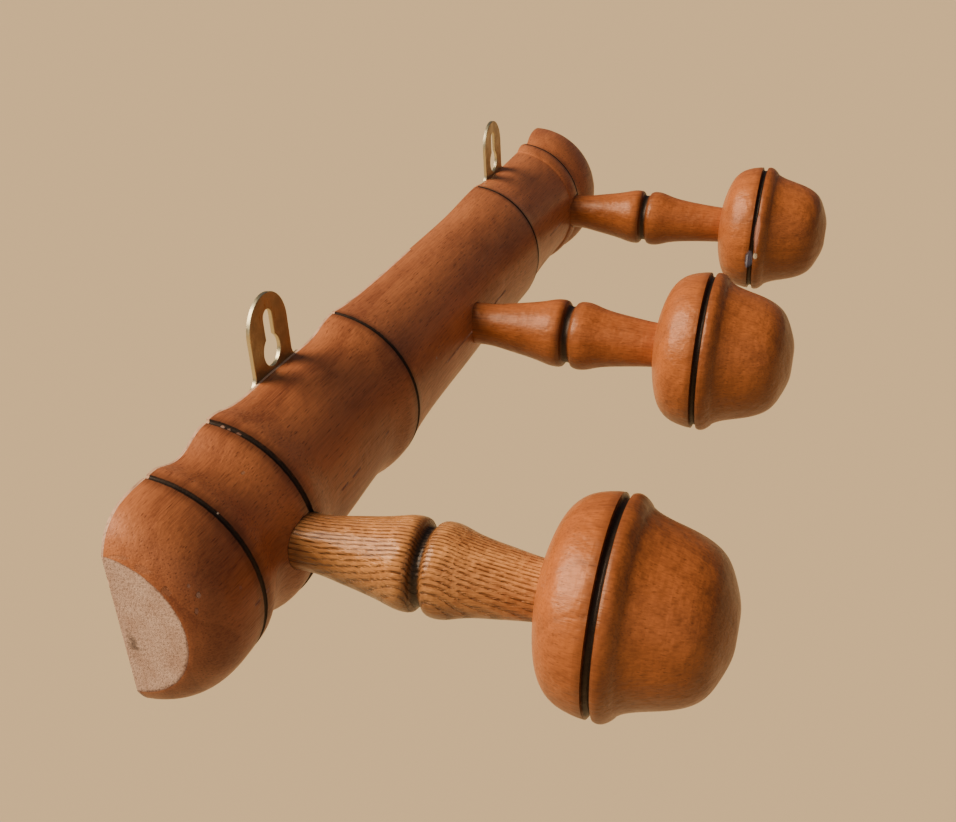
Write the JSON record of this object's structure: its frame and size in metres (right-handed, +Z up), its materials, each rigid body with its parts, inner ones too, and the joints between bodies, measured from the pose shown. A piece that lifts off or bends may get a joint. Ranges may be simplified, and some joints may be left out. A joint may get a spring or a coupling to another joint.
{
  "type": "wall peg rail",
  "caption": "Turned wooden wall rail with a flat back, projecting turned pegs ending in bun knobs, and keyhole hanging plates behind its top edge.",
  "frame": {"origin": "midway between the centres of the two keyhole plates' round openings, on the wall plane, which is the back of the plates", "axes": "+X along the rail from its flat sawn end towards its rounded end, +Y into the wall, +Z up; the pegs point along -Y"},
  "size_m": [0.3332, 0.1293, 0.0746],
  "materials": {
    "stained_beech": "reddish brown stain under satin varnish",
    "honey_beech": "orange brown stain under gloss varnish",
    "stained_ash": "open grained, golden stain under gloss varnish",
    "brassed_steel": "bright plate, lightly tarnished",
    "screw_steel": "plated, worn in the slots"
  },
  "bodies": {
    "root": {"rail": "stained_beech", "peg_stem_left": "stained_ash", "knob_left": "honey_beech", "peg_stem_middle": "honey_beech", "knob_middle": "honey_beech", "peg_stem_right": "honey_beech", "knob_right": "honey_beech", "keyhole_plate_left": "brassed_steel", "plate_screw_left_outer": "screw_steel", "plate_screw_left_inner": "screw_steel", "keyhole_plate_right": "brassed_steel", "plate_screw_right_outer": "screw_steel", "plate_screw_right_inner": "screw_steel"}
  },
  "joints": []
}
